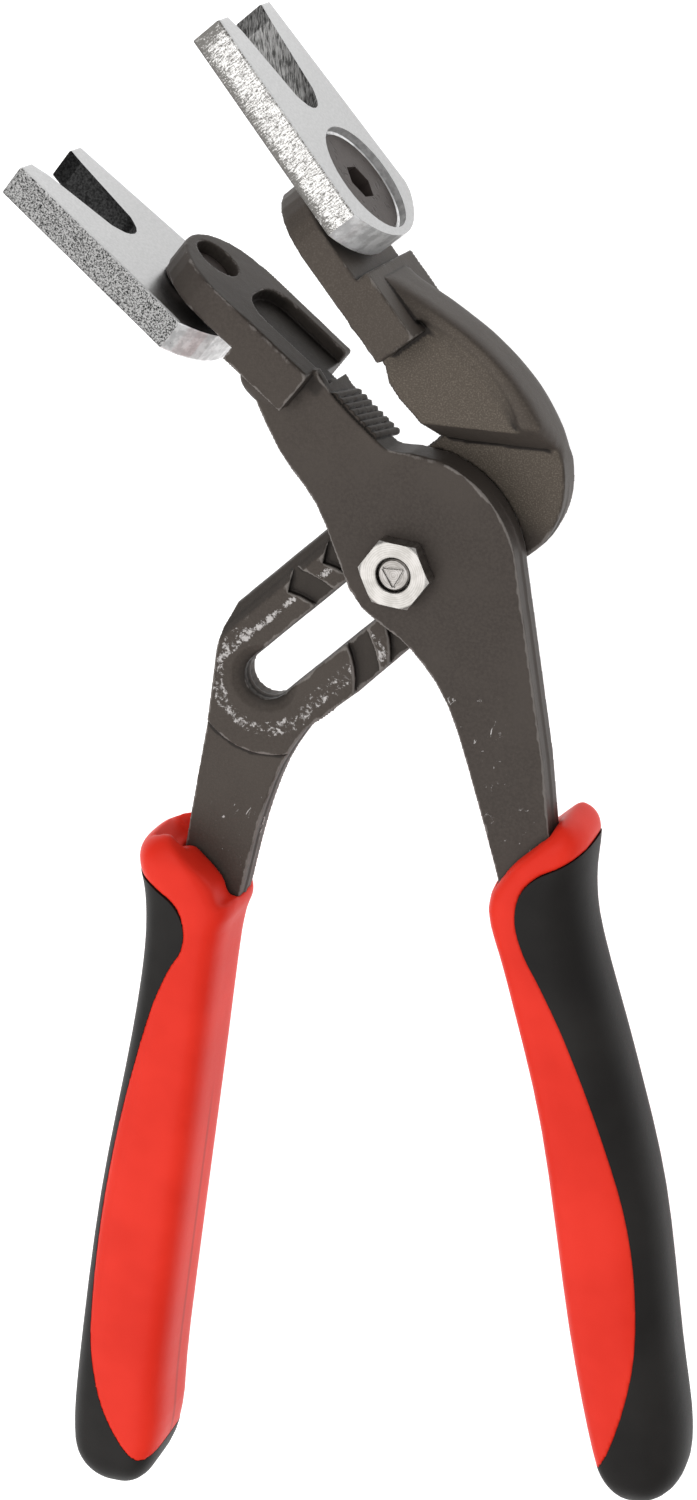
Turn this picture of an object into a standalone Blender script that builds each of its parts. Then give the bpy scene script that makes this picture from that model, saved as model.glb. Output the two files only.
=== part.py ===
"""Groove-joint pliers whose two jaws carry swivelling forks.

Frame: the origin is the centre of the bolt head's outer face, the pivot bolt's axis is Z, +Y runs
from the handles to the jaws, and +Z points towards the nut.  Lengths below are millimetres and
angles are degrees.  Heights are counted from the plane where the two arms lap, and add_object
moves each finished piece up to the frame's origin.
"""
import math

import bmesh
import bpy
from mathutils import Matrix, Vector

MM = 0.001
GAP = 0.3                    # clearance between two pieces that touch on the real tool

# Lap joint
PLATE_BACK = 0.9             # back face of the hub plate
LAND_Z = -0.15               # front face of the slotted bar
PLATE_TOP = 8.0
BAR_BOTTOM = -6.8
HUB_RADIUS = 21.4
JAW_BOTTOM = -2.8            # back of the front jaw beside the lap joint
WEB_TOP = 4.6                # front face of the rear jaw's full-thickness part
RIM_TOP = 6.4
TOOTH_COUNT = 8
TOOTH_RADIUS = 0.75
TOOTH_SLANT = 0.17           # sideways run of a tooth for each millimetre of its height

# Slot and notches of the rear arm
SLOT_DIRECTION = 41.5
SLOT_WIDTH = 9.0
NOTCH_PITCH = 9.1
NOTCH_COUNT = 5
NOTCH_WIDTH = 5.0
NOTCH_DEPTH = 1.3
TONGUE_RADIUS = 18.4
TONGUE_WIDTH = 3.6
BAR_UPPER_EDGE = 13.4        # distance of the bar's upper edge from the slot's centre line
BAR_LOWER_EDGE = -12.5
TRAVEL = NOTCH_PITCH * (NOTCH_COUNT - 1)
SLOT_END = -TRAVEL - 2.2     # where the slot's round end is centred

# Pivot hardware
SHANK_RADIUS = 4.2
NUT_ACROSS_FLATS = 11.5
NUT_HEIGHT = 3.2
NUT_ANGLE = 52.5
THREAD_RADIUS = 2.9
THREAD_STEP = 0.5            # the bolt steps in to its thread this far below the plate's top
STAKING_OFFSET = 1.2         # distance of the three staking grooves from the bolt's axis
STAKING_HALF_LENGTH = 1.85
STAKING_HALF_WIDTH = 0.16
STAKING_DEPTH = 0.35
HEAD_RADIUS = 8.5
HEAD_HEIGHT = 3.0
WASHER_RADIUS = 8.8
WASHER_THICKNESS = 1.2
HEAD_SEAT = BAR_BOTTOM - GAP - WASHER_THICKNESS - GAP
ORIGIN_Z = HEAD_SEAT - HEAD_HEIGHT

# Jaw lugs
LUG_HALF_WIDTH = 11.8
LUG_THICKNESS = 5.8
LUG_TIP = 6.3                # the rounded end's reach past the screw
LUG_STEP = -13.7             # where the thicker block starts, behind the screw
LUG_END = -27.0
BLOCK_EXTRA = 2.4            # the block's extra thickness on the fork's side
POCKET_MIDDLE = -1.5         # height of the lug pocket's centre line
POCKET_HALF_WIDTH = 7.4
POCKET_CORNER = 5.5
POCKET_TOP = -9.0
POCKET_DEPTH = 2.4
LEFT_LUG_POINT = (-39.8, 47.2)
LEFT_LUG_ANGLE = 140.0
RIGHT_LUG_POINT = (-14.6, 62.2)
RIGHT_LUG_ANGLE = 127.6

# Forks and their screws
FORK_THICKNESS = 6.2
FORK_TIP = 34.6
FORK_TIP_HALF = 12.6
FORK_ROOT_HALF = 15.2
FORK_CORNER = -4.2           # where the straight sides end
FORK_END_RADIUS = 19.3
FORK_END_CENTRE = 7.6
MOUTH_HALF = 8.3
THROAT_HALF = 7.2
THROAT_DEPTH = 3.2
SLOT_BOTTOM = 13.9
SLOT_BOTTOM_RADIUS = 4.3
LEFT_FORK_SWIVEL = 0.5
RIGHT_FORK_SWIVEL = 2.4
FORK_WASHER_THICKNESS = 1.0
FORK_WASHER_RADIUS = 6.2
COUNTERSINK_RADIUS = 10.3
COUNTERBORE_DEPTH = 1.4      # the straight part of the countersink, which the screw head lies below
SCREW_HEAD_RADIUS = 9.6
SCREW_CONE = 4.3
SCREW_RADIUS = 4.1
LUG_HOLE_RADIUS = 4.5
FORK_HOLE_RADIUS = 5.8
SOCKET_ACROSS_FLATS = 6.0
SOCKET_DEPTH = 3.5

# Grips
GRIP_HALF_THICKNESS = 10.0
GRIP_OFFSET = 1.5            # each grip sits this much towards its own arm
SHANK_CLEARANCE = 0.4
INNER_POWER = 4.2            # superellipse powers: the side facing the other handle is flatter
OUTER_POWER = 2.5
MOUTH_TOP = 3.6              # the left sleeve's mouth is hollow up to this height


# ---------------------------------------------------------------- outlines

def polar(radius, angle, centre=(0.0, 0.0)):
    a = math.radians(angle)
    return (centre[0] + radius * math.cos(a), centre[1] + radius * math.sin(a))


def arc(centre, radius, start, stop, steps):
    """Points of an arc, both ends included."""
    return [polar(radius, start + (stop - start) * i / steps, centre) for i in range(steps + 1)]


def smooth(points, steps=3):
    """A Catmull-Rom curve through the points, with its ends kept."""
    padded = [points[0]] + list(points) + [points[-1]]
    curve = []
    for i in range(1, len(padded) - 2):
        p0, p1, p2, p3 = (Vector(p) for p in padded[i - 1:i + 3])
        for k in range(steps):
            t = k / steps
            curve.append(tuple(0.5 * (2 * p1 + (p2 - p0) * t
                                      + (2 * p0 - 5 * p1 + 4 * p2 - p3) * t * t
                                      + (3 * p1 - p0 - 3 * p2 + p3) * t ** 3)))
    curve.append(tuple(points[-1]))
    return curve


def along_slot(distance, offset):
    """A point of the slotted bar: distance along the slot from the pivot, offset to its left."""
    a = math.radians(SLOT_DIRECTION)
    return (distance * math.cos(a) - offset * math.sin(a), distance * math.sin(a) + offset * math.cos(a))


# ---------------------------------------------------------------- solids

def material(name, colour, metallic, roughness):
    mat = bpy.data.materials.new(name)
    mat.use_nodes = True
    shader = mat.node_tree.nodes["Principled BSDF"]
    shader.inputs["Base Color"].default_value = (*colour, 1.0)
    shader.inputs["Metallic"].default_value = metallic
    shader.inputs["Roughness"].default_value = roughness
    return mat


def add_object(name, bm, mat=None):
    """Turn a bmesh drawn in millimetres into an object."""
    bmesh.ops.recalc_face_normals(bm, faces=bm.faces)
    if bm.calc_volume(signed=True) < 0:
        bmesh.ops.reverse_faces(bm, faces=bm.faces)
    bm.transform(Matrix.Scale(MM, 4) @ Matrix.Translation((0, 0, -ORIGIN_Z)))
    mesh = bpy.data.meshes.new(name)
    bm.to_mesh(mesh)
    bm.free()
    obj = bpy.data.objects.new(name, mesh)
    bpy.context.scene.collection.objects.link(obj)
    if mat:
        mesh.materials.append(mat)
    mesh.shade_smooth()
    mesh.set_sharp_from_angle(angle=math.radians(32))
    return obj


def frame_matrix(point, angle):
    """Local x runs along a lug, y along world Z and z across the lug."""
    a = math.radians(angle)
    along = Vector((math.cos(a), math.sin(a), 0.0))
    up = Vector((0.0, 0.0, 1.0))
    across = along.cross(up)
    rotation = Matrix((along, up, across)).transposed().to_4x4()
    return Matrix.Translation((point[0], point[1], 0.0)) @ rotation


def prism(name, outline, low, high, matrix=None, top_bevel=0.0, bottom_bevel=0.0, mat=None):
    """An extruded outline; a bevel rounds the rim of its top or bottom face."""
    bm = bmesh.new()
    bottom = [bm.verts.new((x, y, low)) for x, y in outline]
    top = [bm.verts.new((x, y, high)) for x, y in outline]
    count = len(outline)
    for i in range(count):
        j = (i + 1) % count
        bm.faces.new((bottom[i], bottom[j], top[j], top[i]))
    bm.faces.new(top)
    bm.faces.new(list(reversed(bottom)))
    for rim, width in ((top, top_bevel), (bottom, bottom_bevel)):
        if width:
            edges = [bm.edges.get((rim[i], rim[(i + 1) % count])) for i in range(count)]
            bmesh.ops.bevel(bm, geom=edges, offset=width, segments=2, profile=0.5, affect="EDGES",
                            clamp_overlap=True)
    if matrix:
        bm.transform(matrix)
    return add_object(name, bm, mat)


def turned(name, profile, matrix=None, steps=40, mat=None):
    """A solid of revolution about local z; profile is (radius, height), up the outside."""
    bm = bmesh.new()
    rings = []
    for radius, height in profile:
        if radius < 1e-6:
            rings.append([bm.verts.new((0.0, 0.0, height))])
        else:
            rings.append([bm.verts.new((*polar(radius, 360 * k / steps), height)) for k in range(steps)])
    for lower, upper in zip(rings, rings[1:]):
        for k in range(steps):
            j = (k + 1) % steps
            corners = [lower[k % len(lower)], lower[j % len(lower)], upper[j % len(upper)], upper[k % len(upper)]]
            bm.faces.new(list(dict.fromkeys(corners)))
    if len(rings[0]) > 1:
        closed = profile[0] == profile[-1]
        if closed:
            bmesh.ops.remove_doubles(bm, verts=rings[0] + rings[-1], dist=1e-5)
        else:
            bm.faces.new(list(reversed(rings[0])))
            bm.faces.new(rings[-1])
    if matrix:
        bm.transform(matrix)
    return add_object(name, bm, mat)


def boolean(target, operation, tools):
    for tool in tools:
        modifier = target.modifiers.new(tool.name, "BOOLEAN")
        modifier.operation = operation
        modifier.solver = "EXACT"
        modifier.object = tool
        tool.hide_render = True
        tool.display_type = "WIRE"


def unite(target, tools):
    boolean(target, "UNION", tools)


def cut(target, tools):
    boolean(target, "DIFFERENCE", tools)


# ---------------------------------------------------------------- jaw lugs

def lug_outline():
    tip_centre = (LUG_TIP - LUG_HALF_WIDTH, 0.0)
    return [(LUG_END, -LUG_HALF_WIDTH)] + arc(tip_centre, LUG_HALF_WIDTH, -90, 90, 14) + [(LUG_END, LUG_HALF_WIDTH)]


def block_outline():
    half = LUG_HALF_WIDTH + 0.06
    end = LUG_END - 0.1
    return [(end, -half), (LUG_STEP, -half), (LUG_STEP, half), (end, half)]


def lug(side, point, angle, inward):
    """The flat bar that a fork swivels on; inward is the sign of local z towards the other jaw."""
    matrix = frame_matrix(point, angle)
    low, high = sorted((0.0, inward * LUG_THICKNESS))
    bar = prism(side + "_lug", lug_outline(), low, high, matrix, 0.5, 0.5)
    low, high = sorted((-inward * BLOCK_EXTRA, inward * (LUG_THICKNESS - 0.6)))
    block = prism(side + "_lug_block", block_outline(), low, high, matrix)
    return bar, block


def lug_hole(side, point, angle, inward):
    depth = LUG_THICKNESS + 2.0
    profile = [(0, -2), (LUG_HOLE_RADIUS, -2), (LUG_HOLE_RADIUS, depth), (0, depth)]
    if inward < 0:
        profile = [(0, -depth), (LUG_HOLE_RADIUS, -depth), (LUG_HOLE_RADIUS, 2), (0, 2)]
    return turned(side + "_lug_hole", profile, frame_matrix(point, angle), 28)


def lug_pocket(side, point, angle, inward, end):
    """The scooped hollow in the lug's inner face, behind the screw; it runs out at end."""
    low_side, high_side = POCKET_MIDDLE - POCKET_HALF_WIDTH, POCKET_MIDDLE + POCKET_HALF_WIDTH
    corner_x = POCKET_TOP - POCKET_CORNER
    outline = [(end, low_side)]
    outline += arc((corner_x, low_side + POCKET_CORNER), POCKET_CORNER, -90, 0, 5)
    outline += arc((corner_x, high_side - POCKET_CORNER), POCKET_CORNER, 0, 90, 5)
    outline += [(end, high_side)]
    low, high = sorted((inward * (LUG_THICKNESS - POCKET_DEPTH), inward * (LUG_THICKNESS + 3.0)))
    return prism(side + "_lug_pocket", outline, low, high, frame_matrix(point, angle))


# ---------------------------------------------------------------- front arm

def front_plate_outline():
    inner = smooth([(-28.4, 33.0), (-22.2, 20.0), (-15.4, 10.8), (-11.0, 0.0), (-8.4, -6.0), (-3.6, -10.2),
                    (2.1, -14.3), (9.0, -24.0), (14.6, -41.4), (18.9, -57.0), (26.5, -85.0), (37.5, -140.0)])
    outer = [(46.5, -140.0), (38.6, -100.0), (31.5, -70.0), (27.9, -46.0), (26.6, -33.0)]
    hub = arc((0, 0), HUB_RADIUS, 5, 70, 14)
    jaw = smooth([(2.0, 21.1), (-1.6, 21.2), (-3.4, 22.2), (-7.6, 25.8), (-12.4, 30.4)], 2)
    return inner + outer + hub + jaw + [(-15.0, 34.5), (-22.0, 36.0)]


def front_jaw_outline():
    """The part of the front jaw that is as thick as both arms together."""
    return smooth([(-28.2, 32.2), (-23.4, 23.0), (-19.0, 16.5)], 3) + [
        (-12.0, 19.4), (-3.8, 22.5), (-12.2, 30.2), (-15.0, 34.5), (-22.0, 36.0)]


def pipe_teeth():
    """Ridges across the hollow between hub and lug, a little slanted towards the hub."""
    start, stop = Vector((-12.2, 30.1)), Vector((-5.2, 23.6))
    slant = (stop - start).normalized() * TOOTH_SLANT
    shear = Matrix.Identity(4)
    shear[0][2], shear[1][2] = -slant
    shift = Matrix.Translation((*slant * PLATE_TOP, 0))
    ridges = []
    for i in range(TOOTH_COUNT):
        centre = start.lerp(stop, i / (TOOTH_COUNT - 1))
        outline = arc(centre, TOOTH_RADIUS, 0, 324, 9)
        ridges.append(prism(f"pipe_tooth_{i}", outline, JAW_BOTTOM + 0.4, PLATE_TOP - 0.6, shift @ shear))
    return ridges


def tongue():
    """The arc rib on the plate's back that seats in a notch of the rear arm."""
    inner, outer = TONGUE_RADIUS - TONGUE_WIDTH / 2, TONGUE_RADIUS + TONGUE_WIDTH / 2
    start, stop = SLOT_DIRECTION - 34, SLOT_DIRECTION + 30
    outline = arc((0, 0), outer, start, stop, 10) + arc((0, 0), inner, stop, start, 10)
    return prism("tongue", outline, LAND_Z + GAP, PLATE_BACK + 1.0)


def front_arm(steel):
    plate = prism("front_arm", front_plate_outline(), PLATE_BACK, PLATE_TOP, None, 0.6, 0.0, steel)
    bar, block = lug("left", LEFT_LUG_POINT, LEFT_LUG_ANGLE, 1)
    jaw = prism("front_jaw", front_jaw_outline(), JAW_BOTTOM, PLATE_TOP - 1.0)
    unite(plate, [jaw, bar, block, tongue()] + pipe_teeth())
    hole = turned("front_pivot_hole", [(0, -1), (SHANK_RADIUS + GAP, -1), (SHANK_RADIUS + GAP, 9), (0, 9)])
    cut(plate, [hole, lug_hole("left", LEFT_LUG_POINT, LEFT_LUG_ANGLE, 1),
                lug_pocket("left", LEFT_LUG_POINT, LEFT_LUG_ANGLE, 1, LUG_END - 3)])
    return plate


# ---------------------------------------------------------------- rear arm

def rear_bar_outline():
    """Slotted bar, handle shank and the lapped part of the jaw."""
    outer_jaw = smooth([(14.6, -2.4), (20.0, 1.4), (24.4, 5.6), (27.0, 11.0), (27.5, 17.0), (26.2, 23.4),
                        (22.6, 30.0), (17.4, 36.2)])
    upper = [(6.5, 30.0), along_slot(20.0, BAR_UPPER_EDGE), along_slot(-34.4, BAR_UPPER_EDGE + 0.4)]
    shank_outer = [(-37.2, -16.6), (-38.4, -21.0), (-40.3, -33.5), (-43.3, -48.0), (-46.1, -62.0),
                   (-53.0, -90.0), (-63.5, -150.0)]
    shank_inner = [(-54.5, -150.0), (-41.0, -90.0)] + smooth(
        [(-34.6, -68.5), (-31.0, -55.0), (-26.4, -43.0), (-21.0, -34.6)], 3)
    return outer_jaw + upper + shank_outer + shank_inner + [along_slot(-27.0, BAR_LOWER_EDGE)]


def rear_web_outline():
    """The full-thickness part of the rear jaw, beyond the lapped part."""
    outer = smooth([(26.8, 19.5), (26.0, 24.0), (22.6, 30.6), (17.4, 36.8), (11.6, 41.8), (5.4, 46.0),
                    (-0.6, 49.6), (-3.4, 51.0)], 3)
    gap = [(-6.6, 45.0), (-4.8, 37.0), (-3.6, 35.4), (-2.9, 32.4), (-1.0, 29.8), (1.6, 27.2), (5.2, 23.0)]
    return outer + gap


def rear_rim_outline():
    """The raised rim along the outside of the rear jaw."""
    outer = smooth([(26.7, 21.6), (26.3, 24.4), (22.9, 30.8), (17.7, 37.1), (11.9, 42.1), (5.6, 46.3),
                    (-0.5, 49.9), (-3.5, 51.4)], 3)
    inner = smooth([(-5.9, 45.6), (-1.0, 44.9), (4.7, 43.4), (10.0, 40.6), (14.3, 37.0), (17.8, 32.6), (20.2, 28.0),
                    (21.0, 22.6)], 3)
    return outer + inner


def slot_outline(half, start, stop):
    a = SLOT_DIRECTION
    return arc(along_slot(start, 0), half, a + 90, a + 270, 10) + arc(along_slot(stop, 0), half, a - 90, a + 90, 10)


def slot_chamfer():
    """The eased rim at the slot's lower end."""
    half = SLOT_WIDTH / 2
    wide, deep = half + 2.4, 1.3
    profile = [(0, LAND_Z - deep), (half - 0.2, LAND_Z - deep), (wide, LAND_Z + 0.1), (wide, 1.0), (0, 1.0)]
    x, y = along_slot(SLOT_END, 0)
    return turned("slot_chamfer", profile, Matrix.Translation((x, y, 0.0)), 28)


def notches():
    """Arc grooves that the tongue seats in, one for each place of the bolt along the slot."""
    cutters = []
    for i in range(NOTCH_COUNT):
        centre = along_slot(NOTCH_PITCH * i - TRAVEL, 0)
        inner, outer = TONGUE_RADIUS - NOTCH_WIDTH / 2, TONGUE_RADIUS + NOTCH_WIDTH / 2
        upper, lower = SLOT_DIRECTION + 37, SLOT_DIRECTION - 50
        outline = arc(centre, outer, lower, upper, 10) + arc(centre, inner, upper, lower, 10)
        cutters.append(prism(f"notch_{i}", outline, LAND_Z - NOTCH_DEPTH, LAND_Z + 1.0))
    return cutters


def slope_cutter(name, start, stop, section):
    """A bar from start to stop; section gives offsets to its left and heights."""
    bm = bmesh.new()
    direction = (Vector(stop) - Vector(start)).normalized()
    left = Vector((-direction.y, direction.x))
    ends = []
    for point in (start, stop):
        ends.append([bm.verts.new((*(Vector(point) + left * offset), z)) for offset, z in section])
    for i in range(len(section)):
        j = (i + 1) % len(section)
        bm.faces.new((ends[0][i], ends[0][j], ends[1][j], ends[1][i]))
    bm.faces.new(ends[0])
    bm.faces.new(list(reversed(ends[1])))
    return add_object(name, bm)


def bar_chamfer():
    """The sloping strip along the bar's upper edge."""
    section = [(BAR_UPPER_EDGE - 3.6, LAND_Z + 0.8), (BAR_UPPER_EDGE + 2.5, LAND_Z - 4.3),
               (BAR_UPPER_EDGE + 2.5, LAND_Z + 0.8)]
    return slope_cutter("bar_chamfer", along_slot(-48.0, 0), along_slot(14.0, 0), section)


def shoulder_slope():
    """The slope from the thick part of the rear jaw down to its lapped part."""
    section = [(5.6, 8.0), (-0.4, LAND_Z), (-9.0, LAND_Z), (-9.0, 8.0)]
    return slope_cutter("shoulder_slope", (-4.0, 23.0), (34.0, 21.6), section)


def shank_step():
    """The handle shank lies a little lower than the boss round the slot's end."""
    end = along_slot(SLOT_END, 0)
    boss = arc(end, 15.0, 200, 330, 14)
    return prism("shank_step", boss + [(-10, -160), (-80, -160), (-60, -30)], LAND_Z - 0.5, LAND_Z + 1.0)


def rear_arm(steel):
    arm = prism("rear_arm", rear_bar_outline(), BAR_BOTTOM, LAND_Z, None, 0.0, 0.6, steel)
    bar, block = lug("right", RIGHT_LUG_POINT, RIGHT_LUG_ANGLE, -1)
    web = prism("rear_web", rear_web_outline(), BAR_BOTTOM + 0.7, WEB_TOP, None, 0.0, 0.6)
    rim = prism("rear_rim", rear_rim_outline(), BAR_BOTTOM + 1.3, RIM_TOP, None, 1.2, 0.6)
    cut(web, [shoulder_slope()])
    cut(rim, [shoulder_slope()])
    unite(arm, [web, rim, bar, block])
    slot = prism("slot", slot_outline(SLOT_WIDTH / 2, SLOT_END, 0.0), BAR_BOTTOM - 1, 1.0)
    cut(arm, [slot, slot_chamfer(), bar_chamfer(), shank_step()] + notches())
    cut(arm, [lug_hole("right", RIGHT_LUG_POINT, RIGHT_LUG_ANGLE, -1),
              lug_pocket("right", RIGHT_LUG_POINT, RIGHT_LUG_ANGLE, -1, LUG_END + 4)])
    return arm


# ---------------------------------------------------------------- pivot hardware

def hexagon(across_flats, angle):
    return [polar(across_flats / math.sqrt(3), angle + 60 * i) for i in range(6)]


def pivot_bolt(steel):
    end = PLATE_TOP + NUT_HEIGHT
    profile = [(0, ORIGIN_Z), (HEAD_RADIUS - 2.2, ORIGIN_Z),
               (HEAD_RADIUS, ORIGIN_Z + 1.4), (HEAD_RADIUS, HEAD_SEAT), (SHANK_RADIUS, HEAD_SEAT),
               (SHANK_RADIUS, PLATE_TOP - THREAD_STEP), (THREAD_RADIUS, PLATE_TOP - THREAD_STEP),
               (THREAD_RADIUS, end - 0.3), (THREAD_RADIUS - 0.35, end), (0, end)]
    bolt = turned("pivot_bolt", profile, mat=steel)
    marks = []
    for i in range(3):
        middle = polar(STAKING_OFFSET, 90 + 120 * i)
        groove = [(-STAKING_HALF_LENGTH, -STAKING_HALF_WIDTH), (STAKING_HALF_LENGTH, -STAKING_HALF_WIDTH),
                  (STAKING_HALF_LENGTH, STAKING_HALF_WIDTH), (-STAKING_HALF_LENGTH, STAKING_HALF_WIDTH)]
        turn = Matrix.Translation((*middle, 0)) @ Matrix.Rotation(math.radians(120 * i), 4, "Z")
        marks.append(prism(f"staking_{i}", groove, end - STAKING_DEPTH, end + 1, turn))
    cut(bolt, marks)
    return bolt


def pivot_nut(zinc):
    low = PLATE_TOP + GAP
    high = low + NUT_HEIGHT
    nut = prism("pivot_nut", hexagon(NUT_ACROSS_FLATS, NUT_ANGLE), low, high, mat=zinc)
    outer = NUT_ACROSS_FLATS / 2
    chamfer = turned("nut_chamfer", [(outer + 0.2, high + 0.01), (outer + 2.6, high - 1.35), (outer + 4, high - 1.35),
                                     (outer + 4, high + 1), (outer + 0.2, high + 1), (outer + 0.2, high + 0.01)])
    inner = THREAD_RADIUS + GAP
    bore = turned("nut_bore", [(0, low - 1), (inner, low - 1), (inner, high - 0.15), (inner + 0.25, high + 0.1),
                               (inner + 0.25, high + 1), (0, high + 1)])
    cut(nut, [chamfer, bore])
    return nut


def washer(name, inner, outer, low, high, matrix, mat):
    profile = [(inner, low), (outer, low), (outer, high), (inner, high), (inner, low)]
    return turned(name, profile, matrix, 40, mat)


# ---------------------------------------------------------------- forks

def fork_outline():
    half_angle = math.degrees(math.asin(FORK_ROOT_HALF / FORK_END_RADIUS)) - 0.5
    end = arc((FORK_END_CENTRE, 0), FORK_END_RADIUS, 180 - half_angle, 180 + half_angle, 16)
    slot_angle = 82
    bottom = arc((SLOT_BOTTOM + SLOT_BOTTOM_RADIUS, 0), SLOT_BOTTOM_RADIUS, 180 + slot_angle, 180 - slot_angle, 8)
    prong = [(FORK_TIP, -FORK_TIP_HALF), (FORK_TIP, -MOUTH_HALF), (FORK_TIP - THROAT_DEPTH, -THROAT_HALF)]
    mirrored = [(x, -y) for x, y in reversed(prong)]
    return end + prong + bottom + mirrored


def fork_matrix(point, angle, swivel):
    return frame_matrix(point, angle) @ Matrix.Rotation(math.radians(swivel), 4, "Z")


def fork(side, point, angle, outward, swivel, chrome):
    """The fork lies on the lug's outer face; outward is the sign of local z away from the other jaw."""
    spacing = FORK_WASHER_THICKNESS + 2 * GAP
    low, high = sorted((outward * spacing, outward * (spacing + FORK_THICKNESS)))
    matrix = fork_matrix(point, angle, swivel)
    body = prism(side + "_fork", fork_outline(), low, high, matrix, 0.45, 0.45, chrome)
    face = outward * (spacing + FORK_THICKNESS)
    depth = COUNTERBORE_DEPTH + COUNTERSINK_RADIUS - FORK_HOLE_RADIUS
    levels = [(FORK_HOLE_RADIUS, outward * (spacing - 2)), (FORK_HOLE_RADIUS, face - outward * depth),
              (COUNTERSINK_RADIUS, face - outward * COUNTERBORE_DEPTH), (COUNTERSINK_RADIUS, face + outward * 1)]
    profile = [(0, levels[0][1])] + levels + [(0, levels[-1][1])]
    cut(body, [turned(side + "_countersink", profile, matrix)])
    return body


def fork_screw(side, point, angle, outward, swivel, black):
    spacing = FORK_WASHER_THICKNESS + 2 * GAP
    face = spacing + FORK_THICKNESS - COUNTERBORE_DEPTH
    end = -LUG_THICKNESS + 2.0
    profile = [(0, end), (SCREW_RADIUS - 0.6, end), (SCREW_RADIUS, end + 0.6), (SCREW_RADIUS, face - SCREW_CONE),
               (SCREW_HEAD_RADIUS, face - 0.35), (SCREW_HEAD_RADIUS, face), (0, face)]
    profile = [(r, outward * z) for r, z in profile]
    matrix = fork_matrix(point, angle, swivel)
    screw = turned(side + "_fork_screw", profile, matrix, mat=black)
    low, high = sorted((outward * (face - SOCKET_DEPTH), outward * (face + 1)))
    cut(screw, [prism(side + "_screw_socket", hexagon(SOCKET_ACROSS_FLATS, 20), low, high, matrix)])
    return screw


def fork_set(side, point, angle, outward, swivel, chrome, black):
    fork(side, point, angle, outward, swivel, chrome)
    fork_screw(side, point, angle, outward, swivel, black)
    low, high = sorted((outward * GAP, outward * (GAP + FORK_WASHER_THICKNESS)))
    washer(side + "_fork_washer", SCREW_RADIUS + GAP + 0.2, FORK_WASHER_RADIUS, low, high,
           frame_matrix(point, angle), black)


# ---------------------------------------------------------------- grips

LEFT_GRIP_OUTER = [(-46.5, -56.8), (-51.4, -57.8), (-54.2, -61.5), (-53.4, -70.0), (-53.8, -81.0), (-57.2, -100.0),
                   (-65.6, -137.2), (-71.8, -175.0), (-73.8, -193.0), (-72.2, -200.8), (-66.5, -206.0)]
LEFT_GRIP_INNER = [(-45.0, -56.8), (-41.0, -60.2), (-37.4, -65.0), (-34.6, -71.0), (-37.2, -80.0), (-42.2, -114.0),
                   (-50.6, -170.6), (-53.0, -190.8), (-56.8, -201.0), (-63.8, -206.0)]
RIGHT_GRIP_OUTER = [(31.5, -44.4), (34.0, -45.8), (35.2, -49.0), (34.8, -58.0), (36.4, -69.0), (43.2, -92.7),
                    (49.6, -118.3), (53.8, -149.4), (56.4, -168.9), (54.8, -178.6), (47.6, -184.4)]
RIGHT_GRIP_INNER = [(30.0, -44.4), (25.4, -48.6), (20.4, -53.5), (16.6, -62.0), (20.2, -76.0), (27.1, -104.7),
                    (33.3, -146.4), (38.4, -171.8), (42.0, -180.4), (46.6, -184.4)]
LEFT_RED = [(-58.0, -52.0), (-55.4, -63.0), (-49.6, -66.8), (-45.2, -69.8), (-43.2, -74.2), (-43.8, -79.0),
            (-46.8, -84.0), (-51.5, -95.0), (-58.8, -118.5), (-63.8, -141.0), (-66.6, -163.0), (-66.4, -175.0),
            (-63.4, -187.0), (-57.4, -195.6), (-51.0, -191.6), (-44.0, -186.0)]
LEFT_MOUTH = [(-46.0, -45.0), (-50.2, -54.5), (-50.6, -58.0), (-47.5, -61.0), (-43.6, -60.0), (-40.0, -50.0)]
LEFT_LIP = [(-48.8, -45.0), (-48.6, -54.4), (-45.9, -57.9), (-43.1, -60.4), (-39.5, -63.8), (-37.6, -66.3),
            (-36.7, -69.6), (-30.0, -69.6), (-25.0, -45.0)]
RIGHT_RED = [(42.0, -41.0), (37.8, -46.6), (32.2, -50.8), (26.6, -54.0), (23.6, -57.8), (22.9, -63.0),
             (24.6, -69.0), (28.0, -75.4), (32.8, -85.4), (38.8, -100.8), (44.2, -118.0), (46.8, -134.5),
             (46.8, -152.0), (42.4, -170.6), (35.6, -182.0)]


def at_height(curve, y):
    """x where a curve that runs down crosses the height y."""
    for (x0, y0), (x1, y1) in zip(curve, curve[1:]):
        if y1 <= y <= y0:
            return x0 + (x1 - x0) * (y0 - y) / max(y0 - y1, 1e-9)
    return curve[-1][0]


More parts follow.
